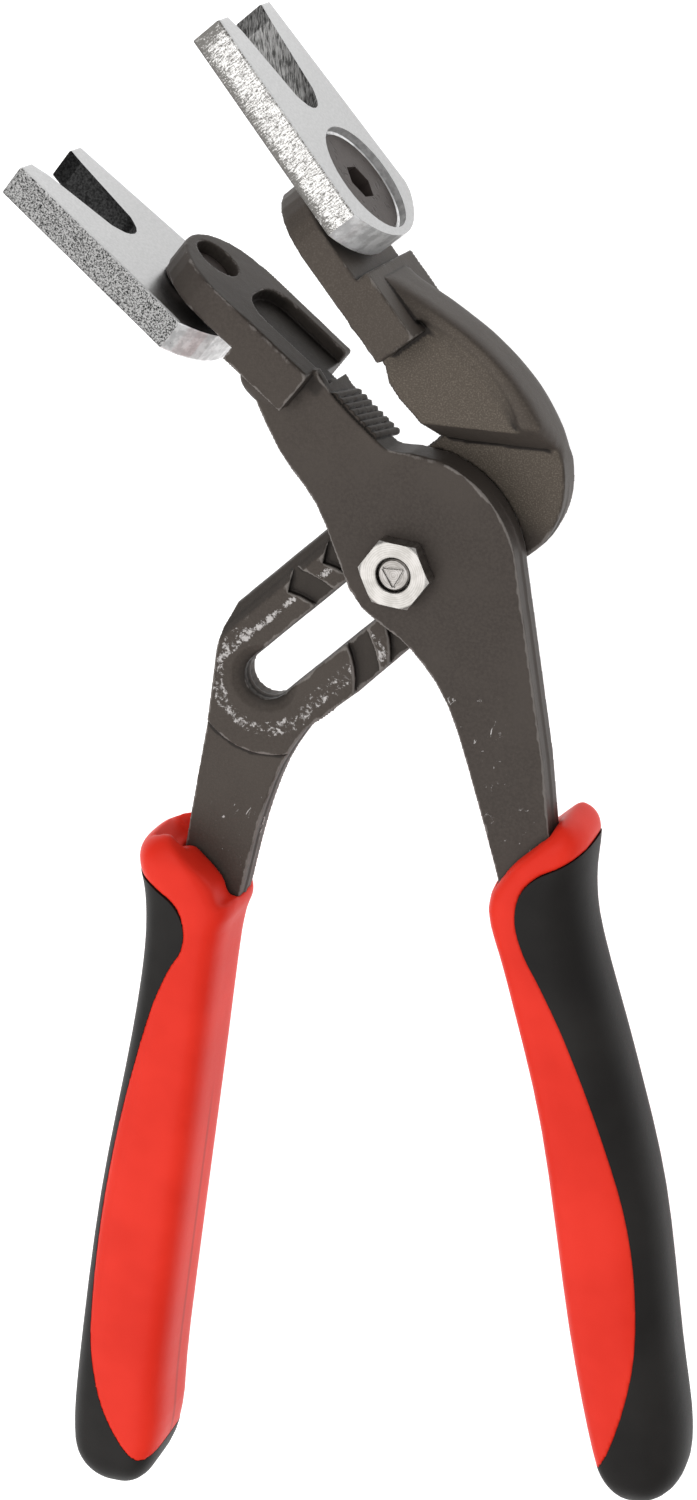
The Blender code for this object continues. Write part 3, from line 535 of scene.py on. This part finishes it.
def rear_arm(steel):
    """The forging with the right lug, the web, the slotted bar and the left handle's shank."""
    flash = [lump((0.9, 50.4, LAP_Z - 1.6), (1.6, 0.9, 2.2), -25),
             lump((-2.0, 47.3, LAP_Z + 3.6), (5.0, 3.2, 2.2), -38)]
    skin = Skin(even_skin(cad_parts["rear_arm"].data, flash, FORGED_DEPTH))
    skin.relax(RELAX_ROUNDS)
    co = skin.co
    behind = np.clip((co[:, 1] + co[:, 0] * 0.3 - 26.0) / 3.0, 0, 1)
    lug_along, lug_across = lug_coordinates(co, RIGHT_LUG)
    off_lug = 1 - np.clip((lug_along + 30.0) / 1.5, 0, 1) * np.clip((3.6 - lug_across) / 1.0, 0, 1)
    soft = behind * off_lug * np.clip((co[:, 0] + 1.1 * co[:, 1] - 48.0) / 6.0, 0, 1)
    skin.melt(soft, MELT_ROUNDS)
    along, offset = slot_coordinates(co)
    wall = np.clip((0.7 - np.abs(skin.normals()[:, 2])) / 0.3, 0, 1)
    gap = (band(co[:, 1] + co[:, 0] * 0.85, 29.0, 38.5, 2.0)
           * band(co[:, 0] * 0.6 - co[:, 1] * 0.75, -99.0, -18.0, 3.0))
    ragged = gap * wall * 0.30 * skin.grain(1.9, 5)
    skin.push(forged_grain(skin, 3) + ragged + parting_ridge(skin, REAR_PARTING))
    bend = skin.bend(FORGED_CELL, 1)
    jaw = np.clip((co[:, 1] + co[:, 0] * 0.3 - 12.0) / 5.0, 0, 1)
    height = co[:, 2] - LAP_Z
    top = np.clip((skin.normals()[:, 2] - 0.75) / 0.2, 0, 1)
    rim = np.clip((height - 5.2) / 0.8, 0, 1)
    skin.keep("edge", np.clip(bend * 5.0, 0, 1) * (1 - 0.4 * jaw))
    # painted shade in the hollows
    skin.keep("hollow_shade", np.clip(-bend * 8.0, 0, 1))
    # painted shade on the slotted bar: its notch floors and the sloped strip beside it are darkened
    on_bar = (1 - jaw) * band(along, -60.0, 14.0, 2.0)
    notch_floor = band(height, -2.2, -0.9, 0.4) * band(offset, -12.5, 12.5, 0.5)
    strip = band(offset, 10.6, 20.0, 0.5) * (height < -0.35)
    skin.keep("painted_shade", on_bar * np.maximum(0.8 * notch_floor, 0.55 * strip))
    skin.keep("cast", np.clip(jaw * top * (1 - 0.7 * rim) + 0.15, 0, 1))
    land = top * (height > -0.7)
    beside_bevel = band(offset, 6.8, 9.1, 1.2) * band(along, -46.0, -6.0, 4.0)
    round_end = band(np.hypot(along - SLOT_END, offset), 7.4, 12.0, 2.0) * (along < SLOT_END + 4)
    lower = band(offset, -11.5, -6.4, 1.6) * band(along, -36.0, -6.0, 3.0)
    groove_land = band(along, -20.4, -15.2, 0.8) * band(offset, -11.5, -4.6, 1.0)
    worn = np.maximum.reduce([beside_bevel, 0.90 * round_end, 0.88 * lower, groove_land])
    skin.keep("worn", worn * land * 0.68 * (1 - jaw))
    skin.keep("nicked", 0.50 + 0.16 * band(co[:, 1], -72.0, -44.0, 14.0))
    return finish_piece(skin.mesh, "rear_arm_forging", "rear_arm", "rear", steel)


# ---------------------------------------------------------------- forks, screws and pivot

FORK_ROUND_RADIUS = 10.6                # of the end round the screw
FORK_SLOT_START = 12.0                  # along the fork from its screw
FORK_SLOT_HALF = 9.5
FORK_BACK = -4.0                        # faces behind this, along the fork, belong to its round end


def fork_materials():
    """For each fork: flat faces, thin sides, slot walls, round end and chamfers."""
    satin = chrome("chrome_satin", (0.38, 0.38, 0.38), (0.46, 0.46, 0.46), 0.5, 0.25, (0.26, 0.36), 0.004)
    bright = chrome("chrome_bright", (0.56, 0.56, 0.56), (0.80, 0.80, 0.80), 2.0, 0.12, (0.24, 0.36), 0.01,
                    metallic=0.55)
    edge = chrome("chrome_edge", (0.52, 0.52, 0.52), (0.78, 0.78, 0.78), 1.2, 0.2, (0.16, 0.28), 0.01)
    # painted shade: the left fork's slot walls are chrome darkened to nearly black
    slot_painted_shade = chrome("chrome_dark_slot", (0.012, 0.012, 0.012), (0.045, 0.045, 0.045), 0.5, 0.2,
                       (0.20, 0.34), 0.02)
    pale_slot = chrome("chrome_pale_slot", (0.06, 0.06, 0.058), (0.34, 0.335, 0.33), 0.42, 0.16,
                       (0.20, 0.36), 0.03, (0.22, 1.8, 1.0), (0.0, 35.0, -100.0))
    # painted shade: the left fork's sides, chrome with a grit pattern, darkened well below the right fork's
    # sides
    gritty_shaded = sawn_chrome("chrome_gritty", -LEFT_LUG[2], (0.004, 0.004, 0.004), (0.31, 0.308, 0.304),
                         (1.0, 1.0, 1.0))
    # the right fork's sides, with painted shade near one edge and near the tip
    sawn = sawn_chrome("chrome_sawn", -RIGHT_LUG[2], (0.12, 0.115, 0.108), (0.66, 0.65, 0.635),
                       (1.6, 0.25, 1.0), (-30.4, -28.2), (87.5, 93.5), 0.26)
    return (satin, gritty_shaded, slot_painted_shade, bright, edge), (satin, sawn, pale_slot, bright, edge)


def dress_fork(name, lug, materials):
    """Give each face of the fork a finish by its direction and its place."""
    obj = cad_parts[name]
    mesh = obj.data
    mesh.materials.clear()
    for material in materials:
        mesh.materials.append(material)
    x, y, angle = lug
    a = math.radians(angle)
    flat, side, slot, end, edge = range(len(materials))
    for face in mesh.polygons:
        n = face.normal
        centre = face.center / MM
        local = (centre.x - x) * math.cos(a) + (centre.y - y) * math.sin(a)
        across = n.x * math.sin(a) - n.y * math.cos(a)
        height = abs(centre.z - LAP_Z)
        radius = math.hypot(local, height)
        if abs(across) > 0.9:
            face.material_index = flat
        elif radius < FORK_ROUND_RADIUS:
            face.material_index = end
        elif local > FORK_SLOT_START and height < FORK_SLOT_HALF:
            face.material_index = slot
        elif local > FORK_BACK and abs(n.z) > 0.9:
            face.material_index = side
        elif local > FORK_BACK and abs(across) > 0.2:
            face.material_index = edge
        else:
            face.material_index = end


def dress(names, material):
    """Give whole CAD pieces one material."""
    for name in names:
        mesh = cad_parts[name].data
        mesh.materials.clear()
        mesh.materials.append(material)


# ---------------------------------------------------------------- grips

GRIP_HALF_THICKNESS = 10.0
INNER_POWER = 4.2                       # fullness of a grip's section towards the other handle
OUTER_POWER = 2.5                       # and on its outer side
GRIP_RINGS, GRIP_SIDES = 96, 72
SLEEVE_DEPTH = 8                        # octree depth of a sleeve's skin
INLAY_SWELL = 0.06                      # the inlay stands this far above the sleeve

# Side curves of the grips, the lines where red meets black, and the openings, all as (x, y)
LEFT_GRIP_OUTER = [(-46.5, -56.8), (-51.4, -57.8), (-54.2, -61.5), (-53.4, -70.0), (-53.8, -81.0),
                   (-57.2, -100.0), (-65.6, -137.2), (-71.8, -175.0), (-73.8, -193.0), (-72.2, -200.8),
                   (-66.5, -206.0)]
LEFT_GRIP_INNER = [(-45.0, -56.8), (-41.0, -60.2), (-37.4, -65.0), (-34.6, -71.0), (-37.2, -80.0),
                   (-42.2, -114.0), (-50.6, -170.6), (-53.0, -190.8), (-56.8, -201.0), (-63.8, -206.0)]
RIGHT_GRIP_OUTER = [(31.5, -44.4), (34.0, -45.8), (35.2, -49.0), (34.8, -58.0), (36.4, -69.0),
                    (43.2, -92.7), (49.6, -118.3), (53.8, -149.4), (56.4, -168.9), (54.8, -178.6),
                    (47.6, -184.4)]
RIGHT_GRIP_INNER = [(30.0, -44.4), (25.4, -48.6), (20.4, -53.5), (16.6, -62.0), (20.2, -76.0),
                    (27.1, -104.7), (33.3, -146.4), (38.4, -171.8), (42.0, -180.4), (46.6, -184.4)]
LEFT_RED = [(-58.0, -52.0), (-55.4, -63.0), (-49.6, -66.8), (-45.2, -69.8), (-43.2, -74.2),
            (-43.8, -79.0), (-46.8, -84.0), (-51.5, -95.0), (-58.8, -118.5), (-63.8, -141.0),
            (-66.6, -163.0), (-66.4, -175.0), (-63.4, -187.0), (-57.4, -195.6), (-51.0, -191.6),
            (-44.0, -186.0)]
LEFT_MOUTH = [(-46.0, -45.0), (-50.2, -54.5), (-50.6, -58.0), (-47.5, -61.0), (-43.6, -60.0),
              (-40.0, -50.0)]
LEFT_LIP = [(-48.8, -45.0), (-48.6, -54.4), (-45.9, -57.9), (-43.1, -60.4), (-39.5, -63.8),
            (-37.6, -66.3), (-36.7, -69.6), (-30.0, -69.6), (-25.0, -45.0)]
RIGHT_RED = [(42.0, -41.0), (37.8, -46.6), (32.2, -50.8), (26.6, -54.0), (23.6, -57.8), (22.9, -63.0),
             (24.6, -69.0), (28.0, -75.4), (32.8, -85.4), (38.8, -100.8), (44.2, -118.0),
             (46.8, -134.5), (46.8, -152.0), (42.4, -170.6), (35.6, -182.0)]
LEFT_SHANK = [(-43.7, -48.0), (-46.5, -62.0), (-49.6, -75.0), (-38.4, -75.0), (-34.6, -68.5),
              (-30.6, -55.0), (-28.6, -48.0)]
RIGHT_SHANK = [(13.1, -38.0), (18.5, -57.0), (26.1, -85.0), (35.6, -85.0), (31.9, -70.0), (28.3, -46.0),
               (27.4, -38.0)]


def grip_outside(outer, inner, middle, swell=0.0):
    """The outside of a whole handle grip: superellipse sections between its two side curves."""
    outer, inner = smooth_line(outer), smooth_line(inner)
    top, bottom = outer[0][1], outer[-1][1]
    length = top - bottom
    side = 1 if inner[0][0] > outer[0][0] else -1
    bm = bmesh.new()
    rings = []
    for i in range(GRIP_RINGS + 1):
        u = 0.5 - 0.5 * math.cos(math.pi * i / GRIP_RINGS)
        y = top - length * (0.02 * i / GRIP_RINGS + 0.98 * u)
        x0, x1 = at_height(outer, y), at_height(inner, y)
        thick = GRIP_HALF_THICKNESS * math.sqrt(max(1 - max(1 - (top - y) / 6.0, 0) ** 2 * 0.55, 0.05))
        thick *= math.sqrt(max(1 - max(1 - (y - bottom) / 11.0, 0) ** 2, 0.03))
        half = abs(x1 - x0) / 2
        ring = []
        for k in range(GRIP_SIDES):
            a = 2 * math.pi * k / GRIP_SIDES
            c, s = math.cos(a), math.sin(a)
            power = INNER_POWER if c * side > 0 else OUTER_POWER
            dx = math.copysign(abs(c) ** (2 / power), c) * (half + swell)
            dz = math.copysign(abs(s) ** (2 / power), s) * (thick + swell)
            ring.append(bm.verts.new(((x0 + x1) / 2 + dx, y, middle + dz)))
        rings.append(ring)
    for a, b in zip(rings, rings[1:]):
        for k in range(GRIP_SIDES):
            j = (k + 1) % GRIP_SIDES
            bm.faces.new((a[k], a[j], b[j], b[k]))
    bm.faces.new(rings[0])
    bm.faces.new(list(reversed(rings[-1])))
    return mesh_of(bm, "grip_outside")


def grip(side, outer, inner, red_line, far_x, shank, levels, lip, seam_top, middle, body, red, black,
         openings=()):
    """The red sleeve has soft lips above y = lip, and the black inlay meets it at a crisp line.

    Red lies between red_line and far_x.  The shank runs inside between the two levels, which are
    counted from the lap plane; middle is the height of the grip's centre.  A moulding seam runs along
    the sleeve's inner side below y = seam_top.
    """
    line = smooth_line(red_line)
    red_side = line + [(far_x, line[-1][1]), (far_x, line[0][1] + 10), (line[0][0], line[0][1] + 10)]
    wall = prism_mesh("wall", red_side, -20, 40)
    core = prism_mesh("core", shank, LAP_Z + levels[0], LAP_Z + levels[1])
    sleeve = combined(grip_outside(outer, inner, middle), "INTERSECT", wall.copy())
    sleeve = combined(sleeve, "DIFFERENCE", core.copy())
    for outline, low, high in openings:
        sleeve = combined(sleeve, "DIFFERENCE", prism_mesh("opening", outline, LAP_Z + low, LAP_Z + high))
    skin = Skin(even_skin(sleeve, [], SLEEVE_DEPTH))
    skin.relax(4)
    skin.melt(np.clip((skin.co[:, 1] - lip) / 5.0, 0, 1), 10)
    inner_side = np.clip(np.abs(skin.normals()[:, 0]) * 3 - 1.6, 0, 1)
    inner_side *= np.sign(inner[4][0] - outer[4][0]) * skin.normals()[:, 0] > 0
    line = np.exp(-((skin.co[:, 2] - middle) / 0.42) ** 2)
    skin.keep("seam", 0.6 * line * inner_side * np.clip((seam_top - skin.co[:, 1]) / 12.0, 0, 1))
    skin.write()
    finish_piece(skin.mesh, side + "_grip_red", side + "_grip_sleeve", body, red)
    inlay = combined(grip_outside(outer, inner, middle, INLAY_SWELL), "DIFFERENCE", wall)
    inlay = combined(inlay, "DIFFERENCE", core)
    obj = finish_piece(inlay, side + "_grip_black", side + "_grip_inlay", body, black)
    obj.data.set_sharp_from_angle(angle=math.radians(35))


# ---------------------------------------------------------------- stage

TOOL_CENTRE = (-8.0, -50.0, LAP_Z)


def area_light(name, direction, distance, size, power):
    """A rectangular light that faces the tool's centre from the given direction."""
    centre = Vector(TOOL_CENTRE) * MM
    data = bpy.data.lights.new(name, "AREA")
    data.shape = "RECTANGLE"
    data.size, data.size_y = size
    data.energy = power
    obj = bpy.data.objects.new(name, data)
    bpy.context.scene.collection.objects.link(obj)
    back = Vector(direction).normalized()
    obj.location = centre + back * distance
    obj.rotation_mode = "QUATERNION"
    obj.rotation_quaternion = back.to_track_quat("Z", "Y")


def stage():
    """A pale floor, a plain bright world and three soft lights."""
    bm = bmesh.new()
    bmesh.ops.create_grid(bm, x_segments=1, y_segments=1, size=FLOOR_HALF_WIDTH)
    bm.transform(Matrix.Translation((0, 0, FLOOR_Z)))
    floor = placed(mesh_of(bm, "floor"), "floor")
    material, tree, shader = new_material("pale_floor")
    feed(tree, shader, Base_Color=(0.6, 0.6, 0.6), Roughness=0.8, Specular_IOR_Level=0.1,
         Emission_Color=(1.0, 1.0, 1.0), Emission_Strength=0.78)
    floor.data.materials.append(material)
    world = bpy.data.worlds.new("studio")
    world.use_nodes = True
    background = world.node_tree.nodes["Background"]
    background.inputs["Color"].default_value = (1.0, 1.0, 1.0, 1.0)
    background.inputs["Strength"].default_value = 0.42
    bpy.context.scene.world = world
    area_light("key", (-0.45, -0.35, 0.85), 0.9, (1.2, 1.4), 8.5)
    area_light("top", (-0.15, 0.5, 0.9), 1.1, (0.5, 0.5), 2.6)
    area_light("fill", (0.75, -0.1, 0.7), 1.2, (1.2, 1.0), 3.0)
    bpy.context.scene.view_settings.view_transform = "Standard"


def camera():
    """The camera stands to the right of the jaws and looks down, a little tilted."""
    right = Vector((0.94352017, -0.00786499, -0.33122172))
    down = Vector((0.10581761, -0.94020385, 0.32375817))
    forward = Vector((-0.31396229, -0.34052146, -0.88626904))
    data = bpy.data.cameras.new("camera")
    data.sensor_width = 36.0
    data.lens = 67.2
    data.clip_start = 0.01
    obj = bpy.data.objects.new("camera", data)
    bpy.context.scene.collection.objects.link(obj)
    rotation = Matrix((right, -down, -forward)).transposed().to_4x4()
    obj.matrix_world = Matrix.Translation((0.149316, 0.137830, 0.468445)) @ rotation
    bpy.context.scene.camera = obj


def main():
    steel = forged_steel()
    front_arm(steel)
    rear_arm(steel)
    left_finishes, right_finishes = fork_materials()
    dress_fork("left_fork", LEFT_LUG, left_finishes)
    dress_fork("right_fork", RIGHT_LUG, right_finishes)
    dress(["left_fork_screw", "right_fork_screw", "left_fork_washer", "right_fork_washer"], black_oxide())
    dress(["pivot_bolt", "pivot_washer"],
          turned_steel("turned_steel", (0.24, 0.225, 0.21), (0.42, 0.40, 0.385)))
    dress(["pivot_nut"], turned_steel("plated_nut", (0.34, 0.325, 0.305), (0.48, 0.46, 0.44)))
    red = moulded("red_plastic", (0.62, 0.021, 0.009), (0.70, 0.029, 0.014), (0.38, 0.48), 0.008, 0.11)
    black = moulded("black_rubber", (0.011, 0.010, 0.0095), (0.018, 0.0165, 0.0155),
                    (0.44, 0.56), 0.012, 0.09)
    grip("left", LEFT_GRIP_OUTER, LEFT_GRIP_INNER, LEFT_RED, far_x=-20, shank=LEFT_SHANK,
         levels=(-7.2, -0.25), lip=-74.0, seam_top=-110.0, middle=LAP_Z - 1.5, body="rear",
         red=red, black=black, openings=[(LEFT_MOUTH, -7.4, 3.6), (LEFT_LIP, -0.3, 20.0)])
    grip("right", RIGHT_GRIP_OUTER, RIGHT_GRIP_INNER, RIGHT_RED, far_x=5, shank=RIGHT_SHANK,
         levels=(0.5, 8.4), lip=-60.0, seam_top=-90.0, middle=LAP_Z + 1.5, body="front",
         red=red, black=black)
    stage()
    camera()


main()
